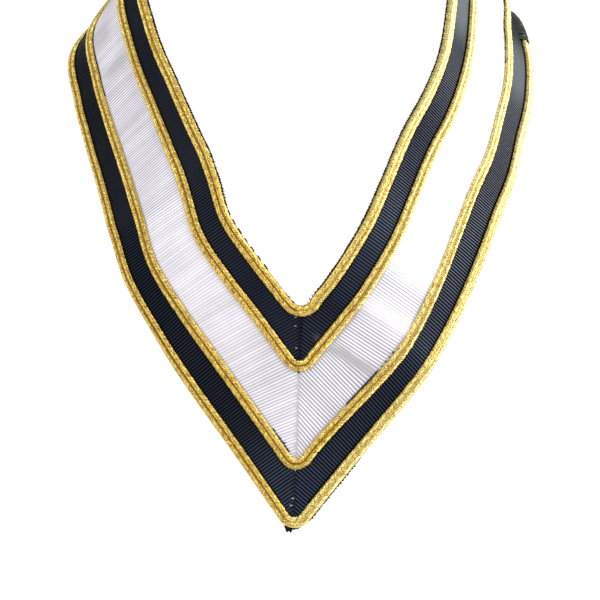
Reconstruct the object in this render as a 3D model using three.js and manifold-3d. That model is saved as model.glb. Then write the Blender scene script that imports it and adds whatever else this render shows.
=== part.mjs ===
// Regalia collar: a strap of three grosgrain ribbons edged with gold braid, sewn to a cloth backing.
// It runs round the nape and over both shoulders, and its ends meet in a mitred point on the chest.
// Millimetres, +Z up. The wearer faces -Y, and left and right are as seen from the front.

import * as THREE from 'three';
import { mergeVertices } from 'three/addons/utils/BufferGeometryUtils.js';
import Module from 'manifold-3d';

const wasm = await Module();
wasm.setup();

// Widths across the strap, from the hole edge outwards
const STRAP_WIDTH = 101.6;
const BRAID_WIDTH = 8.5;
const INNER_BAND = 15;
const CENTRE_BAND = 35.2;

// How far the backing shows past the strap at the hole and at the rim, and the ribbons stay inside it
const HOLE_LIP = 0.8;
const RIM_LIP = 0.4;
const RIBBON_INSET = 0.8;

// Layers, from the skin side outwards, and the gap between pieces that touch
const GAP = 0.3;
const BACKING_THICKNESS = 1.2;
const RIBBON_THICKNESS = 1;
const BRAID_HEIGHT = 2.2;
const RIBBON_LEVEL = BACKING_THICKNESS + GAP;
const BRAID_GAP = 0.6;
const BRAID_LEVEL = RIBBON_LEVEL + RIBBON_THICKNESS + BRAID_GAP;

// Lines across the strap: the middle of each braid, and the ribbon edges under the two seam braids
const HOLE_BRAID = BRAID_WIDTH / 2;
const INNER_SEAM = 1.5 * BRAID_WIDTH + INNER_BAND;
const OUTER_SEAM = 2.5 * BRAID_WIDTH + INNER_BAND + CENTRE_BAND;
const RIM_BRAID = STRAP_WIDTH - BRAID_WIDTH / 2;

// The mitre: the seam down the front of the point, which leans a little from upright
const MITRE_X = 0.6;
const MITRE_Z = -8;
const MITRE_LEAN = THREE.MathUtils.degToRad(1.9);
const TIP_Z = -159;

// How a braid turns the mitre: the rings on each side of the turn, how far it lifts off the cloth there,
// and how far the straight run's last ring stays from it
const TURN_STEPS = 3;
const TURN_LIFT = 0.3;
const CLEAR_OF_TURN = 4;

// The ragged end of the backing cloth, which hangs out below the braid at the tip
const TAB = { width: 11, height: 8.6, thickness: 1, x: -5.2 };

// The strap's way round, from past the point, up the left, round the nape and down the right.
// x, y and z are the middle of its underside, from the level of the hole's point. rise and turn aim
// the line from its rim to its hole edge: up from level, and forwards. bow is how far it is domed,
// and drift how far the outer seam is sewn out of its line.
const WAY_COLUMNS = ['x', 'y', 'z', 'rise', 'turn', 'bow', 'drift'];
const WAY = [
  [44, -12, -155, 35.6, 11.4, 0, 0],
  [-2.1, 0, -89.4, 35.6, 11.4, 0, 0],
  [-44, 10.8, -31.7, 35.6, 12, 0, 0],
  [-66.7, 17.5, 1, 34, 19, 4, 0],
  [-87.8, 25, 35.2, 28, 25, 5, 0],
  [-99.5, 38, 68.5, 24, 27, 3, 0],
  [-109.5, 58, 94, 28, 30, 1.5, 0],
  [-121.8, 84, 125, 33, 32, 1, 0],
  [-133, 109, 153, 39, 31, 1, 0],
  [-143, 128, 183, 44, 30, 1, 0],
  [-151, 158, 222, 46, 31, 1, 0],
  [-135, 191, 259, 56, 40, 2, 0],
  [-103, 226, 292, 68, 42, 4, 0],
  [-58, 254, 308, 79, 41, 5, 0],
  [0, 264, 312, 90, 40, 5, 0],
  [58, 254, 308, 101, 41, 5, 0],
  [103, 226, 292, 112, 42, 4, 0],
  [141, 188, 259, 128, 33, 10, 0],
  [148.5, 157, 221, 138, 28, 1, 0],
  [145, 125, 182, 139, 25, 1, 0],
  [136.2, 95, 150.3, 141, 29, 1, 0],
  [125.2, 69, 120.2, 145, 26, 2, 0],
  [111.2, 45, 92.2, 148, 23, 2, 0],
  [97.5, 25, 60.1, 149, 22, 2, 0],
  [82.9, 12, 28, 146, 20, 3, 1],
  [62.9, 5.5, -8, 142, 12, 3, 3.3],
  [44.5, 3.2, -34, 140.4, 3.1, 0, 4],
  [-2.1, 0, -89.4, 140.4, 3.1, 0, 0],
  [-53, -3.4, -151.7, 140.4, 3.1, 0, 0],
];
const NAPE_ROW = 14;
const ROWS_TO_MITRE = 4;
const STEPS_PER_ROW = 3;

// How finely a direction and a meeting are worked out, and the size of a block that cuts all of a side away
const NUDGE = 0.01;
const SEARCHES = 30;
const CUTTER = 500;

function wayAt(t) {
  const row = Math.min(Math.floor(t), WAY.length - 2);
  const share = t - row;
  const near = [row - 1, row, row + 1, row + 2].map((i) => WAY[THREE.MathUtils.clamp(i, 0, WAY.length - 1)]);
  const values = WAY_COLUMNS.map((name, column) => {
    const [a, b, c, d] = near.map((entry) => entry[column]);
    const straight = b + share * (c - b);
    const out = (c - a) / 2;
    const back = (d - b) / 2;
    const slack = share * (1 - share) * ((out - (c - b)) * (1 - share) + (c - b - back) * share);
    return [name, straight + slack];
  });
  return Object.fromEntries(values);
}

// The strap's own directions at a place on its way: run along it, across it towards the hole edge,
// and out of its face.
function frameAt(t) {
  const here = wayAt(t);
  const before = wayAt(Math.max(t - NUDGE, 0));
  const after = wayAt(Math.min(t + NUDGE, WAY.length - 1));
  const run = new THREE.Vector3(after.x - before.x, after.y - before.y, after.z - before.z).normalize();
  const rise = THREE.MathUtils.degToRad(here.rise);
  const turn = THREE.MathUtils.degToRad(here.turn);
  const across = new THREE.Vector3(
    Math.cos(turn) * Math.cos(rise), -Math.sin(turn), Math.cos(turn) * Math.sin(rise));
  across.addScaledVector(run, -across.dot(run)).normalize();
  const face = new THREE.Vector3().crossVectors(across, run);
  return { ...here, middle: new THREE.Vector3(here.x, here.y, here.z), run, across, face };
}

// How much of the outer seam's drift a line across the strap takes: all at the seam, none by the
// inner seam and the rim braid.
function driftShare(offset) {
  const inside = (offset - INNER_SEAM) / (OUTER_SEAM - INNER_SEAM);
  const outside = (RIM_BRAID - offset) / (RIM_BRAID - OUTER_SEAM);
  return THREE.MathUtils.clamp(Math.min(inside, outside), 0, 1);
}

// A point of the strap: offset is measured from the hole edge, level from the underside.
function pointOn(t, offset, level) {
  const frame = frameAt(t);
  const place = offset + frame.drift * driftShare(offset);
  const share = 2 * place / STRAP_WIDTH - 1;
  const dome = frame.bow * (1 - share * share);
  return frame.middle.clone()
    .addScaledVector(frame.across, STRAP_WIDTH / 2 - place)
    .addScaledVector(frame.face, dome + level);
}

// A closed skin over rings of points. An open row of rings is capped between its two long sides.
function skin(rings, looped) {
  const count = rings[0].length;
  const positions = rings.flat().flatMap((point) => point.toArray());
  const index = [];
  const quad = (a, b, c, d) => index.push(a, b, c, a, c, d);
  const last = looped ? rings.length : rings.length - 1;
  for (let i = 0; i < last; i += 1) {
    const here = i * count;
    const next = ((i + 1) % rings.length) * count;
    for (let j = 0; j < count; j += 1) {
      const k = (j + 1) % count;
      if (j < count / 2) quad(here + j, here + k, next + k, next + j);
      else quad(here + k, next + k, next + j, here + j);
    }
  }
  if (!looped) {
    const end = (rings.length - 1) * count;
    for (let j = 0; j < count / 2 - 1; j += 1) {
      const k = count - 1 - j;
      quad(j, k, k - 1, j + 1);
      quad(end + j, end + j + 1, end + k - 1, end + k);
    }
  }
  const geometry = new THREE.BufferGeometry();
  geometry.setAttribute('position', new THREE.Float32BufferAttribute(positions, 3));
  geometry.setIndex(index);
  return geometry;
}

function solidOf(geometry) {
  const bare = new THREE.BufferGeometry();
  bare.setAttribute('position', geometry.getAttribute('position'));
  bare.setIndex(geometry.getIndex());
  const merged = mergeVertices(bare);
  return new wasm.Manifold(new wasm.Mesh({
    numProp: 3,
    vertProperties: new Float32Array(merged.getAttribute('position').array),
    triVerts: new Uint32Array(merged.getIndex().array),
  }));
}

function geometryOf(solid) {
  const mesh = solid.getMesh();
  const geometry = new THREE.BufferGeometry();
  geometry.setAttribute('position', new THREE.Float32BufferAttribute(mesh.vertProperties, 3));
  geometry.setIndex(Array.from(mesh.triVerts));
  geometry.computeVertexNormals();
  return geometry;
}

// Everything past the mitre, seen from one side, and everything below the clipped tip.
function pastMitre(side) {
  const box = new THREE.BoxGeometry(CUTTER, CUTTER, CUTTER);
  box.translate(side * (GAP / 2 - CUTTER / 2), 0, 0);
  box.rotateY(MITRE_LEAN);
  box.translate(MITRE_X, 0, MITRE_Z);
  return solidOf(box);
}

function belowTip() {
  const box = new THREE.BoxGeometry(CUTTER, CUTTER, CUTTER);
  box.translate(0, 0, TIP_Z - CUTTER / 2);
  return solidOf(box);
}

// One half of a layer: side -1 is the left, 1 the right. folds are the lines across where it is creased.
function layerHalf(side, folds, level, thickness) {
  const rings = [];
  const steps = NAPE_ROW * STEPS_PER_ROW;
  for (let i = 0; i <= steps; i += 1) {
    const t = side < 0 ? i / STEPS_PER_ROW : WAY.length - 1 - i / STEPS_PER_ROW;
    const shift = i === steps ? side * GAP / 2 : 0;
    const ring = [
      ...folds.map((offset) => pointOn(t, offset, level)),
      ...folds.toReversed().map((offset) => pointOn(t, offset, level + thickness)),
    ];
    ring.forEach((point) => { point.x += shift; });
    rings.push(ring);
  }
  if (side > 0) rings.reverse();
  const solid = solidOf(skin(rings, false));
  return geometryOf(solid.subtract(pastMitre(side)).subtract(belowTip()));
}

// The braid's section as shares of its width and height, its flat side first and then back over the
// top: two round cords side by side with a groove between them.
const BRAID_SECTION = [
  { out: -0.5, up: 0 },
  { out: 0.5, up: 0 },
  { out: 0.39, up: 0.9 },
  { out: 0.13, up: 0.9 },
  { out: 0, up: 0.5 },
  { out: -0.13, up: 0.9 },
  { out: -0.39, up: 0.9 },
];

// Where the line at this offset meets the mitre, searched from one end of the way to a place well up it.
function meetsMitre(offset, end, inside) {
  const beyond = (t) => {
    const point = pointOn(t, offset, BRAID_LEVEL);
    return point.x - MITRE_X - Math.tan(MITRE_LEAN) * (point.z - MITRE_Z);
  };
  const side = Math.sign(beyond(inside));
  let past = end;
  let found = inside;
  for (let i = 0; i < SEARCHES; i += 1) {
    const middle = (past + found) / 2;
    if (Math.sign(beyond(middle)) === side) found = middle;
    else past = middle;
  }
  return found;
}

// One braid, a closed ring: up the left, round the nape, down the right and round its turn at the mitre.
function braid(offset, radius) {
  const last = WAY.length - 1;
  const start = meetsMitre(offset, 0, ROWS_TO_MITRE);
  const finish = meetsMitre(offset, last, last - ROWS_TO_MITRE);
  const corner = pointOn(start, offset, BRAID_LEVEL).lerp(pointOn(finish, offset, BRAID_LEVEL), 0.5);
  const crease = new THREE.Vector3(Math.sin(MITRE_LEAN), 0, Math.cos(MITRE_LEAN));
  const left = pointOn(start + 1 / STEPS_PER_ROW, offset, BRAID_LEVEL).sub(corner).normalize();
  const right = pointOn(finish - 1 / STEPS_PER_ROW, offset, BRAID_LEVEL).sub(corner).normalize();
  const half = (left.angleTo(crease) + right.angleTo(crease)) / 2;
  const clearance = radius / Math.tan(half) + CLEAR_OF_TURN;
  const rings = [];
  const place = (middle, across, face) => rings.push(BRAID_SECTION.map(({ out, up }) => middle.clone()
    .addScaledVector(across, -out * BRAID_WIDTH)
    .addScaledVector(face, up * BRAID_HEIGHT)));
  for (let i = 0; i <= last * STEPS_PER_ROW; i += 1) {
    const t = i / STEPS_PER_ROW;
    const middle = pointOn(t, offset, BRAID_LEVEL);
    if (t > start && t < finish && middle.distanceTo(corner) > clearance) {
      const across = pointOn(t, offset - 1, BRAID_LEVEL).sub(middle).normalize();
      place(middle, across, new THREE.Vector3().crossVectors(across, frameAt(t).run).normalize());
    }
  }
  const sideways = (line) => line.clone().addScaledVector(crease, -line.dot(crease)).normalize();
  const outwards = { left: sideways(left), right: sideways(right) };
  const faces = {
    left: new THREE.Vector3().crossVectors(crease, outwards.left),
    right: new THREE.Vector3().crossVectors(outwards.right, crease),
  };
  const centre = corner.clone().addScaledVector(crease, radius / Math.sin(half));
  for (let i = -TURN_STEPS; i <= TURN_STEPS; i += 1) {
    const side = i < 0 ? 'right' : 'left';
    const angle = (Math.PI / 2 - half) * Math.abs(i) / TURN_STEPS;
    const across = crease.clone().multiplyScalar(Math.cos(angle))
      .addScaledVector(outwards[side], -Math.sin(angle));
    const face = i === 0 ? faces.left.clone().add(faces.right).normalize() : faces[side];
    place(centre.clone().addScaledVector(across, -radius).addScaledVector(face, TURN_LIFT), across, face);
  }
  const geometry = skin(rings, true);
  geometry.computeVertexNormals();
  return geometry;
}

function pointTab() {
  const geometry = new THREE.BoxGeometry(TAB.width, TAB.thickness, TAB.height);
  geometry.translate(TAB.x, -TAB.thickness / 2, TIP_Z - GAP - TAB.height / 2);
  return geometry;
}

const NAVY = new THREE.MeshStandardMaterial({ color: 0x23282e, roughness: 0.55 });
const WHITE = new THREE.MeshStandardMaterial({ color: 0xece8f0, roughness: 0.5 });
const GOLD = new THREE.MeshStandardMaterial({ color: 0xc9a545, roughness: 0.35, metalness: 0.8 });
const BLACK_CLOTH = new THREE.MeshStandardMaterial({ color: 0x1c1c20, roughness: 0.9 });

// Where the layers are creased across, the same in the backing and in the ribbons, so they stay parallel.
const between = (from, to, share) => from + (to - from) * share;
const INNER_CREASE = between(0, INNER_SEAM, 1 / 2);
const CENTRE_CREASES = [1 / 3, 2 / 3].map((share) => between(INNER_SEAM, OUTER_SEAM, share));
const OUTER_CREASE = between(OUTER_SEAM, STRAP_WIDTH, 1 / 2);
const HEM = GAP / 2;
const BACKING = { name: 'backing', level: 0, thickness: BACKING_THICKNESS, material: BLACK_CLOTH };
const RIBBON = { level: RIBBON_LEVEL, thickness: RIBBON_THICKNESS };
const LAYERS = [
  {
    ...BACKING,
    folds: [
      -HOLE_LIP, INNER_CREASE, INNER_SEAM, ...CENTRE_CREASES, OUTER_SEAM, OUTER_CREASE, STRAP_WIDTH + RIM_LIP,
    ],
  },
  {
    ...RIBBON, name: 'inner_ribbon', material: NAVY,
    folds: [RIBBON_INSET, INNER_CREASE, INNER_SEAM - HEM],
  },
  {
    ...RIBBON, name: 'centre_ribbon', material: WHITE,
    folds: [INNER_SEAM + HEM, ...CENTRE_CREASES, OUTER_SEAM - HEM],
  },
  {
    ...RIBBON, name: 'outer_ribbon', material: NAVY,
    folds: [OUTER_SEAM + HEM, OUTER_CREASE, STRAP_WIDTH - RIBBON_INSET],
  },
];

// Each braid's line across the strap, and the radius of its turn at the mitre
const BRAIDS = [
  { name: 'hole_edge_braid', offset: HOLE_BRAID, radius: 12 },
  { name: 'inner_seam_braid', offset: INNER_SEAM, radius: 9 },
  { name: 'outer_seam_braid', offset: OUTER_SEAM, radius: 9 },
  { name: 'rim_braid', offset: RIM_BRAID, radius: 6.5 },
];

const collar = new THREE.Group();
function add(name, geometry, material) {
  const mesh = new THREE.Mesh(geometry, material.clone());
  mesh.name = name;
  collar.add(mesh);
}
for (const { name, folds, material, level, thickness } of LAYERS) {
  add(`${name}_left`, layerHalf(-1, folds, level, thickness), material);
  add(`${name}_right`, layerHalf(1, folds, level, thickness), material);
}
for (const { name, offset, radius } of BRAIDS) add(name, braid(offset, radius), GOLD);
add('point_tab', pointTab(), BLACK_CLOTH);

// The origin is the middle of the backing where it lies against the nape.
const nape = wayAt(NAPE_ROW);
collar.position.set(-nape.x, -nape.y, -nape.z);

export default collar;
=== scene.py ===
"""Regalia collar: the finished looks of a V-shaped strap of grosgrain ribbons edged with gold braid.

The strap's way round the neck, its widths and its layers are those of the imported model. Here the
ribbons get their woven ribs, the braids their metallic threads, and the backing its weave and edge.
"""

import math
from functools import partial

import bmesh
import bpy
import numpy as np
from bpy.props import FloatProperty, FloatVectorProperty, IntProperty, PointerProperty
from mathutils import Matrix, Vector


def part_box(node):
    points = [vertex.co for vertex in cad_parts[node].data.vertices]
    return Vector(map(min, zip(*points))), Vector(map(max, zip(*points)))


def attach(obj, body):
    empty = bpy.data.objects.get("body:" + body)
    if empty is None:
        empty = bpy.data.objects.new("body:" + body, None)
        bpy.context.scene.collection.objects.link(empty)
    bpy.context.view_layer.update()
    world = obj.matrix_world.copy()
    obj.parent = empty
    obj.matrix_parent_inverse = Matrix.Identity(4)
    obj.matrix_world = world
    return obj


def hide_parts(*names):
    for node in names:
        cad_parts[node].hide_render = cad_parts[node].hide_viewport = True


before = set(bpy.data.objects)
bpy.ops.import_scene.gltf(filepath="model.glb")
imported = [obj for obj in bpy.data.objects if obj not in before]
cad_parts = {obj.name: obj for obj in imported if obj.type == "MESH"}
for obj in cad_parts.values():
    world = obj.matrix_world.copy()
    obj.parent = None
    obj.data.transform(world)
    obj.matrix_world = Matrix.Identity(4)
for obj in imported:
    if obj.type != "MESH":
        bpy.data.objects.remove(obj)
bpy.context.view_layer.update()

bl_info = {
    "name": "Regalia collar",
    "version": (1, 0, 0),
    "blender": (4, 5, 0),
    "location": "View3D > Sidebar > Collar",
    "description": "Makes the ribbons, braids and backing of a regalia collar on its packed model",
    "category": "Object",
}

MM = 0.001

# Widths across the strap, from the hole edge outwards. A size is in metres where no comment says
# millimetres.
STRAP_WIDTH = 101.6 * MM
BRAID_WIDTH = 8.5 * MM
INNER_BAND = 15 * MM
CENTRE_BAND = 35.2 * MM
RIBBON_INSET = 2.5 * MM

# Layers, from the skin side outwards
GAP = 0.3 * MM
BACKING_THICKNESS = 1.2 * MM
RIBBON_THICKNESS = 1 * MM
BRAID_HEIGHT = 2.2 * MM
RIBBON_LEVEL = BACKING_THICKNESS + GAP
RIBBON_TOP = RIBBON_LEVEL + RIBBON_THICKNESS
BRAID_LEVEL = RIBBON_TOP + 0.6 * MM
BACKING_CLOTH = 0.8 * MM

# Lines across the strap: the middle of each braid, and the seams under the two inner ones
HOLE_BRAID = BRAID_WIDTH / 2
INNER_SEAM = 1.5 * BRAID_WIDTH + INNER_BAND
OUTER_SEAM = 2.5 * BRAID_WIDTH + INNER_BAND + CENTRE_BAND
RIM_BRAID = STRAP_WIDTH - BRAID_WIDTH / 2

# The strap's way round, from past the point, up the left, round the nape and down the right. x, y
# and z are the middle of its underside in millimetres; rise and turn aim it in degrees; bow is how
# far it is domed, and drift how far the outer seam is sewn out of its line.
WAY = (
    (44, -12, -155, 35.6, 11.4, 0, 0),
    (-2.1, 0, -89.4, 35.6, 11.4, 0, 0),
    (-44, 10.8, -31.7, 35.6, 12, 0, 0),
    (-66.7, 17.5, 1, 34, 19, 4, 0),
    (-87.8, 25, 35.2, 28, 25, 5, 0),
    (-99.5, 38, 68.5, 24, 27, 3, 0),
    (-109.5, 58, 94, 28, 30, 1.5, 0),
    (-121.8, 84, 125, 33, 32, 1, 0),
    (-133, 109, 153, 39, 31, 1, 0),
    (-143, 128, 183, 44, 30, 1, 0),
    (-151, 158, 222, 46, 31, 1, 0),
    (-135, 191, 259, 56, 40, 2, 0),
    (-103, 226, 292, 68, 42, 4, 0),
    (-58, 254, 308, 79, 41, 5, 0),
    (0, 264, 312, 90, 40, 5, 0),
    (58, 254, 308, 101, 41, 5, 0),
    (103, 226, 292, 112, 42, 4, 0),
    (141, 188, 259, 128, 33, 10, 0),
    (148.5, 157, 221, 138, 28, 1, 0),
    (145, 125, 182, 139, 25, 1, 0),
    (136.2, 95, 150.3, 141, 29, 1, 0),
    (125.2, 69, 120.2, 145, 26, 2, 0),
    (111.2, 45, 92.2, 148, 23, 2, 0),
    (97.5, 25, 60.1, 149, 22, 2, 0),
    (82.9, 12, 28, 146, 20, 3, 1),
    (62.9, 5.5, -8, 142, 12, 3, 3.3),
    (44.5, 3.2, -34, 140.4, 3.1, 0, 4),
    (-2.1, 0, -89.4, 140.4, 3.1, 0, 0),
    (-53, -3.4, -151.7, 140.4, 3.1, 0, 0),
)
DEGREE = math.radians(1)
WAY_TABLE = np.array(WAY) * [MM, MM, MM, DEGREE, DEGREE, MM, MM]
RISE, TURN, BOW, DRIFT = 3, 4, 5, 6
NAPE_ROW = 14
LAST_ROW = len(WAY) - 1
NAPE = WAY_TABLE[NAPE_ROW, :3]

# The mitre down the front of the point, and where the strap's tip is cut off below the rim braid. Only
# what is lower than MITRE_TOP meets either, and the rest counts as FAR from the mitre.
MITRE_POINT = np.array([0.6, 0, -8]) * MM - NAPE
MITRE_LEAN = 1.9 * DEGREE
MITRE_ACROSS = np.array([math.cos(MITRE_LEAN), 0, -math.sin(MITRE_LEAN)])
MITRE_UP = np.array([math.sin(MITRE_LEAN), 0, math.cos(MITRE_LEAN)])
TIP_Z = -159 * MM - NAPE[2]
MITRE_TOP = -200 * MM
FAR = 1.0

# The braids: the line across the strap under the middle of each, the radius at which it turns the
# mitre, and the side on which it wraps down over the strap's edge, 1 for the hole and -1 for the rim.
# Past the mitre, to the right, its two cords lie as one flat band from the next distance on, and a
# painted wash of light pales its gilt between the last two, which are in millimetres.
BRAIDS = (
    ("hole_edge_braid", HOLE_BRAID, 12 * MM, 1, -2 * MM, (0, 80)),
    ("inner_seam_braid", INNER_SEAM, 9 * MM, 0, math.inf, (10, 90)),
    ("outer_seam_braid", OUTER_SEAM, 9 * MM, 0, math.inf, (30, 90)),
    ("rim_braid", RIM_BRAID, 9.7 * MM, -1, -5 * MM, (-14, 12)),
)
# How pale the painted wash of light makes the gilt at most, as a share
MOST_LIT_PALE = 0.75

# How a braid turns the mitre: how far it lifts there, and how much of its straight way is given up
TURN_LIFT = 0.3 * MM
CLEAR_OF_TURN = 4 * MM
TURN_POINTS = 25

# How deep the groove of a braid that lies flat is, as a share, and how far from its middle its painted
# shade reaches
FLAT_GROOVE = 0.12
FLAT_GROOVE_REACH = 0.02 * MM

# Length and width of a streak of gilt along a braid
STREAK = (3.2 * MM, 1 * MM)

# The ribbons: the lines across the strap between which each lies and between which it shows, how many
# columns of points show, and at rows of the way how far its ribs lean off square to the strap, in
# degrees, how dark the shade painted in the furrows between them is, and how much lighter or darker the
# cloth is painted as the light falls on it, as shares
HEM = GAP / 2
RIBBONS = (
    {
        "name": "inner_ribbon", "columns": 7, "cloth": "navy",
        "lines": (RIBBON_INSET, INNER_SEAM - HEM),
        "shows": (BRAID_WIDTH, INNER_SEAM - BRAID_WIDTH / 2),
        "lean": {
            "left": ((2, -9), (3.9, 2), (4.6, 10), (5.3, 4), (6.5, -3)),
            "right": ((20, 0), (22.2, -7), (24.6, -4), (25.4, -5), (26.2, 4))},
        "furrow": {
            "left": ((3, 0.8), (5, 0.85), (10, 0.85), (14, 0.75)),
            "right": ((14, 0.75), (18.5, 1), (19.5, 1.7), (21.5, 1.2), (22.5, 1), (24, 0.95), (25, 1.1))},
        "tone": {
            "left": ((1, 1), (3, 0.8), (5, 0.66), (7, 0.6), (14, 0.8)),
            "right": (
                (18.5, 0.8), (19.2, 1), (20.1, 1.1), (20.9, 1), (21.8, 0.85), (22.5, 1.05), (23.2, 1.45),
                (24, 1.85), (24.5, 1.9), (24.8, 1.65), (25.4, 1.8), (26, 1.05))},
    },
    {
        "name": "centre_ribbon", "columns": 9, "cloth": "white",
        "lines": (INNER_SEAM + HEM, OUTER_SEAM - HEM),
        "shows": (INNER_SEAM + BRAID_WIDTH / 2, OUTER_SEAM - BRAID_WIDTH / 2),
        "lean": {
            "left": (
                (1, -14.5), (1.4, -13), (1.7, -9.5), (2.6, -7.5), (3.9, 1), (4.5, 7), (5.2, -1), (6.1, 0),
                (6.8, -6), (8.2, 0)),
            "right": (
                (24.2, -2), (24.7, -3), (25.8, 5.5), (26.1, 6), (26.4, -6), (26.75, -4.5), (27, -10))},
        "furrow": {
            "left": (
                (1, 0.7), (1.5, 0.9), (2, 0.5), (3.8, 0.5), (4.5, 0.65), (5.3, 1.3), (6.8, 1.5), (10, 1.5),
                (14, 0.7)),
            "right": (
                (14, 0.7), (18, 0.1), (22, 0.1), (22.2, 0.5), (22.4, 0.1), (24.2, 0.1), (24.6, 1.2),
                (25.1, 0.1), (25.4, 0.7), (25.78, 1.6), (26.07, 1.4), (26.4, 2), (26.8, 1.9))},
        "tone": {
            "left": (
                (1, 0.97), (1.4, 0.95), (1.7, 0.91), (2, 0.96), (2.65, 0.93), (3.9, 0.99), (5.3, 1.02),
                (6.8, 0.95), (9, 0.96)),
            "right": ((14, 0.96), (18, 1), (25.1, 1), (25.4, 0.92), (27, 0.92))},
    },
    {
        "name": "outer_ribbon", "columns": 7, "cloth": "navy",
        "lines": (OUTER_SEAM + HEM, STRAP_WIDTH - RIBBON_INSET),
        "shows": (OUTER_SEAM + BRAID_WIDTH / 2, STRAP_WIDTH - BRAID_WIDTH),
        "lean": {
            "left": ((1, -1), (3, 3), (7, -1)),
            "right": ((22.5, 0), (23.6, -7), (24.5, -8), (27, -6), (27.35, -2))},
        "furrow": {
            "left": ((1, 1),),
            "right": ((18.5, 1), (19.5, 1.6), (21, 2), (22.5, 1.6), (24, 1.1), (25, 1.1), (26.2, 1.6))},
        "tone": {
            "left": (
                (0.75, 1.7), (1, 1.2), (1.2, 0.85), (1.56, 0.65), (2.2, 0.65), (3.1, 0.77), (5, 0.72),
                (7, 0.62), (14, 0.75)),
            "right": (
                (14, 0.75), (16.9, 0.75), (17.3, 0.3), (17.9, 0.3), (18.4, 0.75), (19.3, 1.1), (20, 0.95),
                (21.3, 0.82), (22.5, 1.15), (23.7, 1.3), (24.6, 1.3), (25.4, 2), (26.1, 1.35), (26.6, 1.6),
                (27.4, 2.1))},
    },
)

# How each cloth takes the light: the colour of the shadow painted along its edges beside the braids and
# how much of that painted shade the mitre seam shows, the heights of a rib between which the painted
# shade of its furrow darkens, and its roughness, its shine and the colour of that shine
GROSGRAINS = {
    "navy": {
        "edge_shadow": 0x140B05, "seam": 0.55, "furrow": (0.25, 1), "roughness": 0.33, "shine": 0.24,
        "shine_colour": 0xE0EAFC},
    "white": {
        "edge_shadow": 0xC4C2C8, "seam": 1.0, "furrow": (0.1, 0.8), "roughness": 0.5, "shine": 0.4,
        "shine_colour": 0xFFFFFF},
}

# The gap left along the mitre and at the nape, how far from it the ribbons dip into its seam, and how deep
SEAM_GAP = 0.06 * MM
SEAM_REACH = 0.9 * MM
SEAM_DEPTH = 0.3 * MM

# How near the mitre the painted shadow along a ribbon's edge beside a braid ends
EDGE_STOPS = 8 * MM

# How far the backing shows past the strap's edges, in millimetres at rows of the way
HOLE_LIP = ((4, -1.2), (4.8, 0.3), (24.7, 0.3), (25, 0.5), (25.7, 0.3), (26.1, -1))
RIM_LIP = ((26.6, -0.8), (27, 0.5), (27.7, 0.5), (28, -0.8))

# Where the ribs are pressed flat and take the pressed colour: the row of the way and the line across of
# the middle of each patch, how far it reaches along in rows and across in millimetres, and how strongly.
# On the navy, the last two, the pressed colour is a painted sheen where the light shines off the cloth.
PRESSED = (
    (26.26, 30, 0.05, 10, 0.8),
    (26.2, 45, 0.06, 10, 0.95),
    (26.17, 60, 0.065, 9, 0.9),
    (9.7, 57, 0.24, 13, 0.55),
    (8.87, 47, 0.15, 15, 0.65),
    (10.6, 48, 0.45, 22, 0.5),
    (18.2, 16, 0.8, 14, 0.65),
    (18.6, 85, 0.6, 14, 0.5),
)

# How a stitch lies: where it starts, how it arches and where it ends, in millimetres along the strap,
# towards the rim and out
OVER_HOLE_EDGE = ((0, -0.5, -0.7), (0.5, -0.9, 1.3), (1, 0.9, 1))
OVER_RIM = ((0, 0.5, -0.7), (0.5, 0.9, 1.3), (1, -0.9, 1))
AT_HOLE_POINT = ((-1.3, -0.5, 0), (0, -0.3, 0.8), (1.2, 0.3, 0.4))
LONG_DASH = ((-2.1, -0.1, 0), (0, -0.5, 0.5), (2.1, -0.1, 0))
ALONG_BRAID = ((-1.3, 0, 0), (0, 0, 0.8), (1.3, 0, 0))
SPECK = ((-0.6, 0, 0), (0, 0, 0.7), (0.6, 0, 0))
LOOSE_ENDS = ((0, -6.5, -0.4), (0.3, 0, 6.3), (0.6, 4.4, -1))
TUFT = ((-0.5, -0.8, 0), (0, 0, 0.7), (0.5, 0.8, 0))

# Rows of hand stitches: the rows of the way between which they run, the line across and the level that
# they lie at, their spacing and thickness in millimetres, how they lie, and their thread
STITCHES = (
    ("hole_edge_left", (4.5, 14), -0.2, 1.2, 2.6, 0.4, OVER_HOLE_EDGE, "dark"),
    ("hole_edge_right", (14, 24.8), -0.2, 1.2, 2.6, 0.4, OVER_HOLE_EDGE, "dark"),
    ("hole_edge_low", (24.9, 26.1), -0.3, 1.2, 3.1, 0.5, OVER_HOLE_EDGE, "dark"),
    ("hole_point", (2, 2.08), -0.4, 3.4, 3, 0.8, AT_HOLE_POINT, "dark"),
    ("hole_edge_dashes", (2.8, 4.6), 0.1, 2.2, 7.8, 0.9, LONG_DASH, "dark"),
    ("rim_low", (26.95, 27.5), 101.8, 1.2, 2.7, 0.7, OVER_RIM, "dark"),
    ("outer_seam_right", (26.12, 26.55), 66.9, 2.8, 1.9, 0.9, ALONG_BRAID, "dark"),
    ("outer_seam_specks", (25.75, 26.1), 66.9, 2.7, 4.1, 0.7, SPECK, "dark"),
    ("outer_seam_left", (8.5, 10), 66.9, 2.6, 2.6, 0.5, ALONG_BRAID, "dark"),
    ("outer_seam_low", (0.86, 1.08), 66.6, 2.6, 3.4, 0.8, ALONG_BRAID, "dark"),
    ("outer_seam_top", (17, 18.7), 66.5, 3.3, 3.3, 0.8, ALONG_BRAID, "dark"),
    ("frayed_shoulder", (17.2, 17.85), 97.3, 3, 0.5, 0.8, LOOSE_ENDS, "frayed"),
    ("rim_top_left", (10.2, 10.34), 91.8, 2.7, 0.6, 1.1, TUFT, "dark"),
)
FIRST_STITCH_SEED = 40

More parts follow.
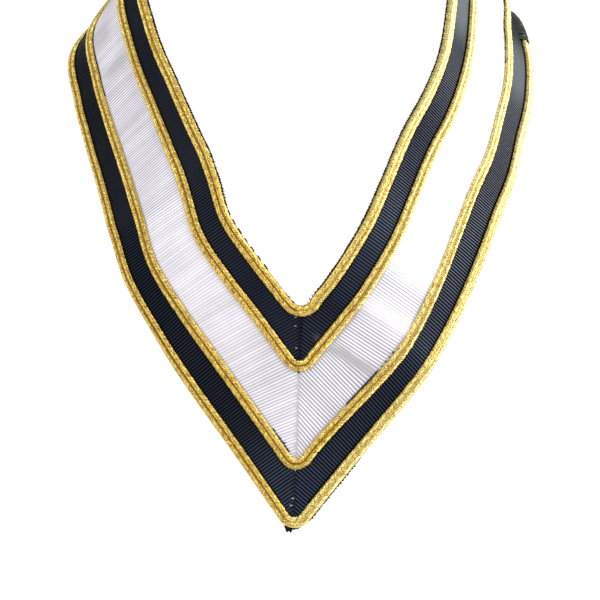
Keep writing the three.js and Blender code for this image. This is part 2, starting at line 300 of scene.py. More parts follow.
# Stitches of the mitre: how far down its line, on which MITRE_POINT lies at MITRE_POINT_DOWN, how far to
# the left of it, and their length and thickness, in millimetres. They are sought in these rows of the way.
MITRE_POINT_DOWN = 8
MITRE_STITCHES = {
    "pale": (
        (12.6, 3.6, 1.4, 0.5), (18.7, 3.6, 1.5, 0.5), (34.6, 2.2, 1.6, 0.5), (142.8, 1.4, 1.2, 0.8),
        (149.2, 1.3, 1.4, 0.8)),
    "dark": (
        (50.8, 0.5, 2.4, 1.6), (50.4, 1.6, 1.2, 1.2), (50.4, -0.8, 1.2, 1.2), (104, -10.6, 1.2, 0.9),
        (103, 8.8, 1.4, 0.9)),
}
MITRE_ROWS = {"left": (0.5, 2.5), "right": (LAST_ROW - 2.5, LAST_ROW - 0.5)}

# How long the tab below the tip is, as shares of its height at shares of its width, and its thickness
TAB_LENGTHS = ((0, 0.6), (0.08, 0.9), (0.35, 0.92), (0.45, 0.7), (0.8, 0.66), (1, 0.55))
TAB_THICKNESS = 0.8 * MM

# The lights: degrees round to the right of the front and up from level, and their width and height
LIGHT_DISTANCE = 2.2
LIGHTS = {
    "key": ((32, 28), (0.4, 0.4)),
    "side": ((92, 22), (2.2, 1.3)),
    "fill": ((-60, 22), (1.2, 1.2)),
    "sheen": ((80, 24), (3.6, 2.4)),
}


def linear(code):
    """An sRGB colour such as 0x23282E as linear red, green, blue and alpha."""
    channels = [((code >> shift) & 0xFF) / 255 for shift in (16, 8, 0)]
    return (*[c / 12.92 if c <= 0.04045 else ((c + 0.055) / 1.055) ** 2.4 for c in channels], 1.0)


def colour(name, description, code):
    return FloatVectorProperty(
        name=name, description=description, default=linear(code), size=4, min=0, max=1, subtype="COLOR")


def length(name, description, default):
    return FloatProperty(
        name=name, description=description, default=default, min=0, unit="LENGTH", precision=5)


def power(name, description, default):
    return FloatProperty(name=name, description=description, default=default, min=0, unit="POWER")


class CollarRibbonProperties(bpy.types.PropertyGroup):
    """Sizes and colours of the grosgrain ribbons"""

    pitch: length("Rib pitch", "From one rib of the weave to the next", 2.28 * MM)
    relief: length("Rib relief", "How deep the ribs are", 0.45 * MM)
    rows_per_rib: IntProperty(
        name="Rows per rib", description="Rows of faces over one rib", default=6, min=2)
    navy: colour("Navy crest", "The navy ribbon on top of its ribs", 0x171E2E)
    # Painted shade: the navy's colour down in the furrows between its ribs
    navy_valley: colour("Navy valley", "The navy ribbon between its ribs", 0x04050A)
    # A painted sheen: the grey where light shines off the pressed navy
    navy_pressed: colour("Navy pressed", "The navy ribbon where its ribs are pressed flat", 0x5A6166)
    white: colour("White crest", "The white ribbon on top of its ribs", 0xFCF8FF)
    # Painted shade: the white's colour down in the furrows between its ribs
    white_valley: colour("White valley", "The white ribbon between its ribs", 0xAAA6B4)
    white_pressed: colour("White pressed", "The white ribbon where its ribs are pressed flat", 0xB4B3B5)


class CollarBraidProperties(bpy.types.PropertyGroup):
    """Sizes and colours of the metallic braids, their threads drawn coarse so that they show"""

    thread_step: length("Thread step", "From one laid thread to the next along the braid", 0.85 * MM)
    thread_width: length("Thread width", "Across one laid thread", 0.85 * MM)
    thread_lean: length("Thread lean", "How far a thread runs along the braid over a cord", 2.4 * MM)
    core_step: length("Core step", "From one section of the cords to the next", 2 * MM)
    gold: colour("Gold", "The metallic thread where it is bright", 0xFFE884)
    gold_deep: colour("Deep gold", "The metallic thread where it is dull", 0xB48622)
    # The groove colour is painted shade deep between the two cords, reaching this far from the middle
    groove_reach: length("Groove reach", "How far from the middle the threads are dark", 1.1 * MM)
    groove: colour("Groove", "The threads deep between the two cords", 0xA27418)
    # The two faded golds are a painted wash of light: the gilt painted paler where the light falls
    # strongest
    lit_pale_gold: colour("Faded gold", "The bleached metallic thread where it is bright", 0xFFF4AC)
    lit_pale_deep_gold: colour("Faded deep gold", "The bleached metallic thread where it is dull", 0xC8A440)


class CollarBackingProperties(bpy.types.PropertyGroup):
    """Sizes and colours of the backing and the sewing thread"""

    weave: length("Weave", "From one thread of the backing cloth to the next", 0.7 * MM)
    edge_step: length("Edge step", "How finely the raw edge of the backing wanders", 1.3 * MM)
    edge_wander: length("Edge wander", "How far the raw edge of the backing wanders", 0.3 * MM)
    cloth: colour("Backing cloth", "The woven backing", 0x15100D)
    dark_thread: colour("Dark thread", "Sewing thread on the navy and the backing", 0x281707)
    frayed_thread: colour("Frayed thread", "Loose ends of thread at the right shoulder", 0x3C463C)
    pale_thread: colour("Pale thread", "Stitches of the mitre seam", 0xB9C0C4)


class CollarStageProperties(bpy.types.PropertyGroup):
    """The floor, the lights and the camera"""

    distance: length("Camera distance", "From the camera to the front of the collar's point", 1.6)
    lens: FloatProperty(
        name="Lens", description="Focal length in millimetres", default=133.33, min=1, unit="CAMERA")
    floor_drop: length("Floor drop", "From the nape down to the floor, as when it is worn", 1.45)
    floor_radius: length("Floor radius", "How far the floor reaches", 6.0)
    sky: FloatProperty(name="Sky strength", description="Light from all round", default=0.56, min=0)
    paper: FloatProperty(name="Surround", description="How bright the surround looks", default=1.05, min=0)
    key: power("Key strength", "Light from the front and right", 11)
    side: power("Side strength", "Light from the far right", 65)
    fill: power("Fill strength", "Light from the front and left", 17)
    sheen: power("Sheen strength", "Wide light from the right that only shining threads mirror", 25)


def settings():
    return bpy.context.scene.regalia_collar


class CollarProperties(bpy.types.PropertyGroup):
    """All that a user would change on the collar"""

    ribbons: PointerProperty(type=CollarRibbonProperties)
    braids: PointerProperty(type=CollarBraidProperties)
    backing: PointerProperty(type=CollarBackingProperties)
    stage: PointerProperty(type=CollarStageProperties)


def unit(vectors):
    return vectors / np.linalg.norm(vectors, axis=-1, keepdims=True)


def way_at(t):
    """The way's columns at each place t, which counts the table's rows."""
    row = np.minimum(np.floor(t).astype(int), LAST_ROW - 1)
    share = (t - row)[..., None]
    before, here, there, after = (WAY_TABLE[np.clip(row + i, 0, LAST_ROW)] for i in (-1, 0, 1, 2))
    step = there - here
    leaving = (there - before) / 2 - step
    arriving = step - (after - here) / 2
    slack = share * (1 - share) * (leaving * (1 - share) + arriving * share)
    return here + share * step + slack


def frame_at(t):
    """The way's columns, and the strap's own directions: along it, across to the hole edge, and out."""
    nudge = 0.01
    way = way_at(t)
    ahead = way_at(np.minimum(t + nudge, LAST_ROW))[..., :3]
    behind = way_at(np.maximum(t - nudge, 0))[..., :3]
    run = unit(ahead - behind)
    rise, turn = way[..., RISE], way[..., TURN]
    across = np.stack([np.cos(turn) * np.cos(rise), -np.sin(turn), np.cos(turn) * np.sin(rise)], axis=-1)
    across = unit(across - run * (across * run).sum(-1, keepdims=True))
    return way, run, across, np.cross(across, run)


def strap_point(t, offset, level):
    """Points of the strap: t along its way, offset from the hole edge, level from the underside."""
    t, offset = np.broadcast_arrays(np.asarray(t, float), np.asarray(offset, float))
    way, _, across, face = frame_at(t)
    inside = (offset - INNER_SEAM) / (OUTER_SEAM - INNER_SEAM)
    outside = (RIM_BRAID - offset) / (RIM_BRAID - OUTER_SEAM)
    place = offset + way[..., DRIFT] * np.clip(np.minimum(inside, outside), 0, 1)
    dome = way[..., BOW] * (1 - (2 * place / STRAP_WIDTH - 1) ** 2)
    middle = way[..., :3] - NAPE
    return middle + across * (STRAP_WIDTH / 2 - place)[..., None] + face * (dome + level)[..., None]


class Line:
    """One line along the strap, measured by its own length."""

    samples_per_row = 40

    def __init__(self, offset, level=0.0):
        self.places = np.linspace(0, LAST_ROW, self.samples_per_row * LAST_ROW + 1)
        self.offset = offset
        self.level = level
        steps = np.linalg.norm(np.diff(strap_point(self.places, offset, level), axis=0), axis=1)
        self.lengths = np.concatenate([[0], np.cumsum(steps)])

    def length_at(self, place):
        return np.interp(place, self.places, self.lengths)

    def place_at(self, distance):
        return np.interp(distance, self.lengths, self.places)

    def steps(self, start, end, step):
        """Places from start to end, about a step apart along the line."""
        first, last = self.length_at(start), self.length_at(end)
        return self.place_at(np.linspace(first, last, 1 + max(1, round(abs(last - first) / step))))


def past_mitre(points):
    """How far each point is past the mitre, towards the right."""
    return (points - MITRE_POINT) @ MITRE_ACROSS


def from_mitre(points):
    """How far each point is from the mitre, where it is low enough to meet it."""
    return np.where(points[..., 2] < MITRE_TOP, np.abs(past_mitre(points)), FAR)


def at_rows(table, places):
    """A column of a short table of rows and values, read smoothly at these places."""
    rows, values = np.array(table, float).T
    return np.interp(places, rows, values)


def mitre_place(offset, level, side):
    """Where the line at this offset meets the mitre, on the left or on the right."""
    rows_searched, tries = 4, 801
    rows = np.linspace(0, rows_searched, tries)
    places = rows if side == "left" else LAST_ROW - rows
    gone = past_mitre(strap_point(places, offset, level))
    return float(np.interp(0, -gone if side == "left" else gone, places))


def braid_path(offset, radius, step):
    """Middle, across and face of a braid once round its closed line, at equal steps."""
    start, finish = (mitre_place(offset, BRAID_LEVEL, side) for side in ("left", "right"))
    corner = strap_point(np.array([start, finish]), offset, BRAID_LEVEL).mean(axis=0)
    leg_rows, sample_rows = 1 / 3, 0.02
    nearby = strap_point(np.array([start + leg_rows, finish - leg_rows]), offset, BRAID_LEVEL)
    legs = unit(nearby - corner)
    half = np.arccos(legs @ MITRE_UP).mean()
    places = np.arange(start, finish, sample_rows)
    middle = strap_point(places, offset, BRAID_LEVEL)
    clear = np.linalg.norm(middle - corner, axis=1) > radius / math.tan(half) + CLEAR_OF_TURN
    places, middle = places[clear], middle[clear]
    across = unit(strap_point(places, offset - MM, BRAID_LEVEL) - middle)
    face = unit(np.cross(across, frame_at(places)[1]))
    turn = mitre_turn(corner, legs, half, radius)
    middle, across, face = (np.concatenate(both) for both in zip((middle, across, face), turn))
    return resampled_loop(middle, across, face, step)


def mitre_turn(corner, legs, half, radius):
    """Middle, across and face of a braid's round turn between its two legs.

    half is half the angle between them. The face turns over in the middle quarter of the bend."""
    sideways = unit(legs - np.outer(legs @ MITRE_UP, MITRE_UP))
    faces = np.array([np.cross(MITRE_UP, sideways[0]), np.cross(sideways[1], MITRE_UP)])
    centre = corner + MITRE_UP * radius / math.sin(half)
    turn = np.linspace(-1, 1, TURN_POINTS)[:, None]
    angle = (math.pi / 2 - half) * np.abs(turn)
    outwards = np.where(turn < 0, sideways[1], sideways[0])
    across = MITRE_UP * np.cos(angle) - outwards * np.sin(angle)
    blend = np.clip(turn * 4, -1, 1) / 2 + 0.5
    face = unit(faces[1] * (1 - blend) + faces[0] * blend)
    return centre - across * radius + face * TURN_LIFT, across, face


def resampled_loop(middle, across, face, step):
    """The same closed line with its points at equal steps."""
    closed = [np.concatenate([values, values[:1]]) for values in (middle, across, face)]
    lengths = np.concatenate([[0], np.cumsum(np.linalg.norm(np.diff(closed[0], axis=0), axis=1))])
    wanted = np.linspace(0, lengths[-1], round(lengths[-1] / step), endpoint=False)
    middle, across, face = (
        np.stack([np.interp(wanted, lengths, values[:, axis]) for axis in range(3)], axis=1)
        for values in closed)
    across = unit(across)
    face = unit(face - across * (face * across).sum(1, keepdims=True))
    return middle, across, face


def smooth_noise(count, spacing, seed):
    """Count values from -1 to 1 that wander smoothly, with a turn about every spacing of them."""
    knots = np.random.default_rng(seed).uniform(-1, 1, int(count / spacing) + 3)
    return np.interp(np.arange(count) / spacing, np.arange(len(knots)), knots)


def add_node(tree, kind, inputs=None, **options):
    """Add a node with its options. Its inputs are given by name or number, as values, nodes or sockets."""
    node = tree.nodes.new(kind)
    for name, value in options.items():
        setattr(node, name, value)
    for key, value in (inputs or {}).items():
        if isinstance(key, int):
            socket = node.inputs[key]
        else:
            socket = next(s for s in node.inputs if s.name == key and s.enabled)
        if isinstance(value, bpy.types.Node):
            value = next(s for s in value.outputs if s.enabled)
        if isinstance(value, bpy.types.NodeSocket):
            tree.links.new(value, socket)
        else:
            socket.default_value = value
    return node


def new_material(name):
    """An empty node material, and what adds a node to it."""
    material = bpy.data.materials.new(name)
    material.use_nodes = True
    material.node_tree.nodes.clear()
    return material, partial(add_node, material.node_tree)


def with_shader(material, node, inputs):
    """The material, with its shader made from these inputs."""
    node("ShaderNodeOutputMaterial", {"Surface": node("ShaderNodeBsdfPrincipled", inputs)})
    return material


def object_noise(node, scale_mm, detail=2.0):
    """Noise in the object's own space, with features of about this many millimetres."""
    place = node("ShaderNodeTexCoord").outputs["Object"]
    return node("ShaderNodeTexNoise", {"Vector": place, "Scale": 1 / (scale_mm * MM), "Detail": detail})


def grosgrain_material(name, crest, valley, pressed, finish):
    """Viscose grosgrain: rounded ribs with painted shade in their furrows, the cloth painted lighter or
    darker by rows as the light falls, painted shadow beside the braids and the mitre seam, some ribs
    duller, and pressed patches, on the navy a painted sheen.
    """
    material, node = new_material(name)
    rib, along, patch, seam, to_braid, dark, bright = (
        node("ShaderNodeAttribute", attribute_name=key).outputs["Fac"]
        for key in ("rib", "rib_number", "pressed", "seam", "to_braid", "furrow", "tone"))
    deep, shallow = finish["furrow"]
    # Painted shade in the furrows between the ribs, made darker or lighter by rows by the furrow table
    depth = node("ShaderNodeMapRange", {
        "Value": rib, "From Min": deep, "From Max": shallow, "To Min": 1.0, "To Max": 0.0},
        interpolation_type="SMOOTHSTEP")
    furrow = node("ShaderNodeMath", {0: depth, 1: dark}, operation="MULTIPLY")
    woven = node("ShaderNodeMix", {"Factor": furrow, "A": crest, "B": valley}, data_type="RGBA")
    shade = node("ShaderNodeMapRange", {
        "Value": object_noise(node, 28, 3.0), "From Min": 0.3, "From Max": 0.7, "To Min": 0.92,
        "To Max": 1.05})
    number = node("ShaderNodeMath", {0: along}, operation="FLOOR")
    each_rib = node("ShaderNodeTexWhiteNoise", {"W": number}, noise_dimensions="1D").outputs["Value"]
    shade_of_rib = node("ShaderNodeMapRange", {"Value": each_rib, "To Min": 0.92, "To Max": 1.06})
    both = node("ShaderNodeMath", {0: shade, 1: shade_of_rib}, operation="MULTIPLY")
    # tone: the cloth and its shine painted lighter or darker, by rows, as the light falls on them
    both = node("ShaderNodeMath", {0: both, 1: bright}, operation="MULTIPLY")
    toned = node("ShaderNodeVectorMath", {"Vector": woven, "Scale": both}, operation="SCALE")
    # The pressed colour: on the navy, a painted sheen
    ground = node("ShaderNodeMix", {"Factor": patch, "A": toned, "B": pressed}, data_type="RGBA")
    # Painted shadow along the edges beside the braids, and painted shade along the mitre seam
    near_braid = node("ShaderNodeMapRange", {
        "Value": to_braid, "From Min": 0.3 * MM, "From Max": 1.5 * MM, "To Min": 1.0, "To Max": 0.0})
    by_braid = node("ShaderNodeMath", {0: near_braid, 1: dark}, operation="MULTIPLY")
    by_seam = node("ShaderNodeMath", {0: seam, 1: finish["seam"]}, operation="MULTIPLY")
    edge = node("ShaderNodeMath", {0: by_braid, 1: by_seam}, operation="MAXIMUM")
    edge_shadow = linear(finish["edge_shadow"])
    edge_shadowed = node("ShaderNodeMix", {"Factor": edge, "A": ground, "B": edge_shadow}, data_type="RGBA")
    bump = node("ShaderNodeBump", {
        "Height": object_noise(node, 0.8, 1.0), "Strength": 0.12, "Distance": 0.1 * MM})
    dull = node("ShaderNodeMath", {0: furrow, 1: edge}, operation="MAXIMUM")
    gloss = node("ShaderNodeMapRange", {"Value": dull, "To Min": finish["shine"], "To Max": 0.0})
    glossy = node("ShaderNodeMath", {0: gloss, 1: bright}, operation="MULTIPLY")
    return with_shader(material, node, {
        "Base Color": edge_shadowed, "Normal": bump, "Roughness": finish["roughness"],
        "Specular IOR Level": glossy, "Specular Tint": linear(finish["shine_colour"])})


def metallic_thread_material(name, bright, dull, groove, lit_pale_gold, lit_pale_dull_gold):
    """Gilt foil wound on cotton: streaks and single glints along the cords, painted shade down in their
    groove, and a painted wash of light, paler and speckled, on the right half where the light falls
    strongest."""
    material, node = new_material(name)
    thread, sunk, along, aside, pale = (
        node("ShaderNodeAttribute", attribute_name=key).outputs["Fac"]
        for key in ("thread", "sunk", "along", "aside", "pale"))
    place = node("ShaderNodeCombineXYZ", {
        "X": node("ShaderNodeMath", {0: along, 1: STREAK[0]}, operation="DIVIDE"),
        "Y": node("ShaderNodeMath", {0: aside, 1: STREAK[1]}, operation="DIVIDE")})
    streak = node("ShaderNodeTexNoise", {"Vector": place, "Scale": 1.0, "Detail": 1.0})
    grain = object_noise(node, 0.9, 1.0)
    speckled = node("ShaderNodeMath", {0: streak, 1: grain}, operation="ADD")
    mixed = node("ShaderNodeMath", {0: thread, 1: 0.2, 2: speckled}, operation="MULTIPLY_ADD")
    share = node("ShaderNodeMapRange", {"Value": mixed, "From Min": 0.88, "From Max": 1.2})
    foil = node("ShaderNodeMix", {"Factor": share, "A": dull, "B": bright}, data_type="RGBA")
    # Painted shade deep in the groove between the cords
    shaded = node("ShaderNodeMix", {"Factor": sunk, "A": foil, "B": groove}, data_type="RGBA")
    # A painted wash of light: paler gold, speckled with painted glints, where the light falls strongest
    glint = node("ShaderNodeMapRange", {"Value": mixed, "From Min": 0.95, "From Max": 1.15})
    lit_pale_speckle = node("ShaderNodeMix", {"Factor": glint, "A": lit_pale_dull_gold, "B": lit_pale_gold}, data_type="RGBA")
    lit_pale = node("ShaderNodeMix", {"Factor": pale, "A": shaded, "B": lit_pale_speckle}, data_type="RGBA")
    polish = node("ShaderNodeMapRange", {"Value": share, "To Min": 0.42, "To Max": 0.22})
    bump = node("ShaderNodeBump", {"Height": grain, "Strength": 0.8, "Distance": 0.3 * MM})
    return with_shader(material, node, {
        "Base Color": lit_pale, "Roughness": polish, "Normal": bump, "Metallic": 0.75,
        "Specular IOR Level": 1.0})


def backing_material(name, cloth, weave):
    """Black cotton twill, matt and slightly furry, its threads drawn coarse so that they just show."""
    material, node = new_material(name)
    waves = []
    for key in ("along", "across"):
        place = node("ShaderNodeAttribute", attribute_name=key).outputs["Fac"]
        angle = node("ShaderNodeMath", {0: place, 1: 2 * math.pi / weave}, operation="MULTIPLY")
        waves.append(node("ShaderNodeMath", {0: angle}, operation="SINE"))
    height = node("ShaderNodeMath", dict(enumerate(waves)), operation="MULTIPLY")
    bump = node("ShaderNodeBump", {"Height": height, "Strength": 0.4, "Distance": 0.15 * MM})
    tone = node("ShaderNodeMapRange", {"Value": object_noise(node, 6, 4.0), "To Min": 0.7, "To Max": 1.5})
    dyed = node("ShaderNodeVectorMath", {0: cloth[:3], "Scale": tone}, operation="SCALE")
    return with_shader(material, node, {
        "Base Color": dyed, "Normal": bump, "Roughness": 0.85, "Specular IOR Level": 0.25,
        "Sheen Weight": 0.05})


def sewing_thread_material(name, dye):
    """Twisted polyester sewing thread, matt, its colour uneven with fuzz."""
    material, node = new_material(name)
    tone = node("ShaderNodeMapRange", {"Value": object_noise(node, 0.6), "To Min": 0.75, "To Max": 1.25})
    dyed = node("ShaderNodeVectorMath", {0: dye[:3], "Scale": tone}, operation="SCALE")
    return with_shader(material, node, {
        "Base Color": dyed, "Roughness": 0.8, "Specular IOR Level": 0.06})


def matt_white_material(name):
    """White painted studio floor, matt, with the faintest mottling."""
    material, node = new_material(name)
    tone = node("ShaderNodeMapRange", {"Value": object_noise(node, 400), "To Min": 0.9, "To Max": 0.94})
    shade = node("ShaderNodeCombineColor", {"Red": tone, "Green": tone, "Blue": tone})
    return with_shader(material, node, {"Base Color": shade, "Roughness": 0.9})


def geometry_tree(name, sockets):
    """A geometry node tree with named inputs, what adds a node to it, and its inputs' values."""
    tree = bpy.data.node_groups.new(name, "GeometryNodeTree")
    for socket_name, kind in {"Geometry": "Geometry", **sockets}.items():
        tree.interface.new_socket(socket_name, in_out="INPUT", socket_type="NodeSocket" + kind)
    tree.interface.new_socket("Geometry", in_out="OUTPUT", socket_type="NodeSocketGeometry")
    node = partial(add_node, tree)
    return tree, node, node("NodeGroupInput").outputs


def end_tree(node, geometry, material):
    """Realize what the tree made, give it its material and pass it on."""
    real = node("GeometryNodeRealizeInstances", {"Geometry": geometry})
    made = node("GeometryNodeSetMaterial", {"Geometry": real, "Material": material})
    node("NodeGroupOutput", {"Geometry": made})


def run_tree(piece, tree, values):
    """Put the tree on the piece with these values for its named inputs."""
    modifier = piece.modifiers.new(tree.name, "NODES")
    modifier.node_group = tree
    names = {item.name: item.identifier for item in tree.interface.items_tree if item.in_out == "INPUT"}
    for name, value in values.items():
        modifier[names[name]] = value


def ribbed_cloth_tree(name):
    """Raises the weave's ribs across a ribbon, from how far along it each point lies."""
    tree, node, given = geometry_tree(
        name, {"Pitch": "Float", "Relief": "Float", "Seam depth": "Float", "Material": "Material"})
    along, flat, seam = (
        node("GeometryNodeInputNamedAttribute", {"Name": key}, data_type="FLOAT").outputs[0]
        for key in ("along", "pressed", "seam"))
    number = node("ShaderNodeMath", {0: along, 1: given["Pitch"]}, operation="DIVIDE")
    angle = node("ShaderNodeMath", {0: number, 1: math.pi}, operation="MULTIPLY")
    wave = node("ShaderNodeMath", {0: angle}, operation="SINE")
    rib = node("ShaderNodeMath", {0: wave}, operation="ABSOLUTE")
    below = node("ShaderNodeMath", {0: rib, 1: 1.0}, operation="SUBTRACT")
    depth = node("ShaderNodeMath", {0: below, 1: given["Relief"]}, operation="MULTIPLY")
    kept = node("ShaderNodeMapRange", {"Value": flat, "To Min": 1.0, "To Max": 0.15})
    ribs = node("ShaderNodeMath", {0: depth, 1: kept}, operation="MULTIPLY")
    dip = node("ShaderNodeMath", {0: seam, 1: given["Seam depth"]}, operation="MULTIPLY")
    move = node("ShaderNodeMath", {0: ribs, 1: dip}, operation="SUBTRACT")
    normal = node("GeometryNodeInputNormal")
    offset = node("ShaderNodeVectorMath", {"Vector": normal, "Scale": move}, operation="SCALE")
    cloth = with_values(node, given["Geometry"], {"rib_number": number, "rib": rib})
    raised = node("GeometryNodeSetPosition", {"Geometry": cloth, "Offset": offset})
    end_tree(node, raised, given["Material"])
    return tree


def with_values(node, geometry, values, domain="POINT"):
    """The geometry, with each of these values stored on it under its name."""
    for key, value in values.items():
        geometry = node(
            "GeometryNodeStoreNamedAttribute", {"Geometry": geometry, "Name": key, "Value": value},
            data_type="FLOAT", domain=domain)
    return geometry


def laid_threads_tree(name):
    """Lays one short arched thread at each point, turned by the point's own run and face."""
    tree, node, given = geometry_tree(name, {
        "Start": "Vector", "Top": "Vector", "End": "Vector", "Width": "Float", "Segments": "Int",
        "Sides": "Int", "Unevenness": "Float", "Groove": "Float", "Seed": "Int", "Material": "Material"})
    line = node("GeometryNodeCurveQuadraticBezier", {
        "Resolution": given["Segments"], "Start": given["Start"], "Middle": given["Top"],
        "End": given["End"]})
    radius = node("ShaderNodeMath", {0: given["Width"], 1: 0.5}, operation="MULTIPLY")
    section = node(
        "GeometryNodeCurvePrimitiveCircle", {"Resolution": given["Sides"], "Radius": radius}, mode="RADIUS")
    thread = node("GeometryNodeCurveToMesh", {"Curve": line, "Profile Curve": section, "Fill Caps": True})
    across = node("ShaderNodeSeparateXYZ", {"Vector": node("GeometryNodeInputPosition")}).outputs["Y"]
    aside = node("ShaderNodeMath", {0: across}, operation="ABSOLUTE")
    # How deep in the groove each part of a thread lies, for the groove's painted shade
    sunk = node("ShaderNodeMapRange", {
        "Value": aside, "From Max": given["Groove"], "To Min": 1.0, "To Max": 0.0})
    smooth = node("GeometryNodeSetShadeSmooth", {
        "Geometry": with_values(node, thread, {"sunk": sunk, "aside": across})})
    run, face = (
        node("GeometryNodeInputNamedAttribute", {"Name": key}, data_type="FLOAT_VECTOR").outputs[0]
        for key in ("run", "face"))
    aim = node(
        "FunctionNodeAxesToRotation", {"Primary Axis": face, "Secondary Axis": run},
        primary_axis="Z", secondary_axis="X")
    least, most = (
        node("ShaderNodeMath", {0: 1.0, 1: given["Unevenness"]}, operation=change)
        for change in ("SUBTRACT", "ADD"))
    scale, tint = (
        node("FunctionNodeRandomValue", {"Min": low, "Max": high, "Seed": given["Seed"]}, data_type="FLOAT")
        for low, high in ((least, most), (0.0, 1.0)))
    placed = node("GeometryNodeInstanceOnPoints", {
        "Points": given["Geometry"], "Instance": smooth, "Rotation": aim, "Scale": scale})
    end_tree(node, with_values(node, placed, {"thread": tint}, "INSTANCE"), given["Material"])
    return tree


def tree_named(name, make):
    """The node tree of this name, made once."""
    return bpy.data.node_groups.get(name) or make(name)


def new_piece(name, points, faces, attributes=None):
    """A mesh object in the scene, with its place in its mesh and values stored on its points."""
    mesh = bpy.data.meshes.new(name)
    mesh.from_pydata(np.asarray(points).tolist(), [], np.asarray(faces).tolist())
    for key, values in (attributes or {}).items():
        values = np.asarray(values, np.float32)
        kind, field = ("FLOAT", "value") if values.ndim == 1 else ("FLOAT_VECTOR", "vector")
        mesh.attributes.new(key, kind, "POINT").data.foreach_set(field, values.ravel())
    piece = bpy.data.objects.new(name, mesh)
    bpy.context.scene.collection.objects.link(piece)
    return piece


def settle(piece):
    """Turn what the piece's modifiers make into its own plain mesh, and remove them."""
    depsgraph = bpy.context.evaluated_depsgraph_get()
    made = bpy.data.meshes.new_from_object(
        piece.evaluated_get(depsgraph), preserve_all_data_layers=True, depsgraph=depsgraph)
    old = piece.data
    piece.modifiers.clear()
    piece.data = made
    made.name = piece.name
    bpy.data.meshes.remove(old)


def join(pieces, name):
    """Several mesh objects as one."""
    first = pieces[0]
    with bpy.context.temp_override(active_object=first, selected_editable_objects=pieces):
        bpy.ops.object.join()
    first.name = name
    first.data.name = name
    return first


def finish_piece(piece, nodes=()):
    """Attach the piece to the root body, and hide the imported parts that it stands in for."""
    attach(piece, "root")
    if nodes:
        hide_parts(*nodes)
    return piece


def grid_faces(rows, columns):
    """Four-sided faces of a grid whose points go column by column along each row."""
    corner = np.arange(rows * columns).reshape(rows, columns)
    corners = [corner[:-1, :-1], corner[1:, :-1], corner[1:, 1:], corner[:-1, 1:]]
    return np.stack(corners, axis=-1).reshape(-1, 4)


def trim_at_mitre(piece, side):
    """Cut a half's sheet along the mitre and at the tip, and say how near each point is to the seam."""
    mesh = bmesh.new()
    mesh.from_mesh(piece.data)
    towards = MITRE_ACROSS if side == "left" else -MITRE_ACROSS
    tip, below = np.array([0, 0, TIP_Z]), np.array([0, 0, -1])
    for point, normal in ((MITRE_POINT - towards * SEAM_GAP / 2, towards), (tip, below)):
        low = [item for item in mesh.verts if item.co.z < MITRE_TOP]
        for items in (mesh.edges, mesh.faces):
            low += [item for item in items if all(corner.co.z < MITRE_TOP for corner in item.verts)]
        bmesh.ops.bisect_plane(
            mesh, geom=low, plane_co=Vector(point), plane_no=Vector(normal), clear_outer=True)
    mesh.to_mesh(piece.data)
    mesh.free()
    points = np.empty(3 * len(piece.data.vertices), np.float32)
    piece.data.vertices.foreach_get("co", points)
    near = np.clip(1 - from_mitre(points.reshape(-1, 3)) / SEAM_REACH, 0, 1)
    seam = piece.data.attributes.new("seam", "FLOAT", "POINT")
    seam.data.foreach_set("value", near.astype(np.float32))


def half_ends(side):
    """The first and last place of a half's sheet, which goes past the mitre until it is trimmed."""
    return (0, NAPE_ROW) if side == "left" else (NAPE_ROW, LAST_ROW)


def strap_grid(side, offsets, level, step, lean=((0, 0),), lips=None):
    """A half's sheet between the first and the last offset, with a row of points at every step.

    lean tilts its rows, by a table of degrees, and lips gives how far its two edges stand out."""
    line = Line((offsets[0] + offsets[-1]) / 2, level)
    start, end = half_ends(side)
    places = line.steps(start, end, step)
    along = line.length_at(places)[:, None]
    shift = np.tan(DEGREE * at_rows(lean, places))[:, None] * (line.offset - offsets)[None, :]
    t = np.clip(line.place_at(along + shift), start, end)
    offset = np.broadcast_to(offsets, t.shape).copy()
    if lips:
        inner, outer = lips(places)
        offset[:, 0] -= inner
        offset[:, -1] += outer
    points = strap_point(t, offset, level)
    points[..., 0] += (SEAM_GAP / 2 if side == "right" else -SEAM_GAP / 2) * np.isclose(t, NAPE_ROW)
    stored = {
        "along": np.broadcast_to(along, t.shape).ravel(), "across": offset.ravel(), "row": t.ravel(),
        "pressed": pressed_at(t, offset).ravel()}
    return points.reshape(-1, 3), grid_faces(*t.shape), stored


def pressed_at(t, offset):
    """How flat the ribs are pressed at each point, from 0 to 1."""
    total = np.zeros(t.shape)
    for row, line, rows, across, strength in PRESSED:
        away = ((t - row) / rows) ** 2 + ((offset / MM - line) / across) ** 2
        total += strength * np.exp(-away ** 2)
    return np.clip(total, 0, 1)


class COLLAR_OT_backing(bpy.types.Operator):
    """Make the woven backing of both halves"""

    bl_idname = "collar.backing"
    bl_label = "Backing"

    def execute(self, context):
        chosen = settings().backing
        material = backing_material("Black twill backing", chosen.cloth, chosen.weave)
        columns, edge_turn = 17, 1.6
        for seed, side in enumerate(("left", "right")):
            def lips(places):
                ragged = chosen.edge_wander * smooth_noise(2 * len(places), edge_turn, seed)
                return tuple(
                    MM * at_rows(table, places) + ragged[edge::2]
                    for edge, table in enumerate((HOLE_LIP, RIM_LIP)))

            offsets = np.linspace(0, STRAP_WIDTH, columns)
            grid = strap_grid(side, offsets, BACKING_THICKNESS, chosen.edge_step, lips=lips)
            piece = new_piece(f"backing_cloth_{side}", *grid)
            trim_at_mitre(piece, side)
            thicken(piece, BACKING_CLOTH)
            piece.data.materials.append(material)
            finish_piece(piece, [f"backing_{side}"])
        return {"FINISHED"}


def thicken(piece, thickness):
    """Give a sheet its wall, below the side that shows."""
    wall = piece.modifiers.new("Wall", "SOLIDIFY")
    wall.thickness = thickness
    wall.offset = -1
    settle(piece)
    piece.data.shade_smooth()
    piece.data.set_sharp_from_angle(angle=60 * DEGREE)


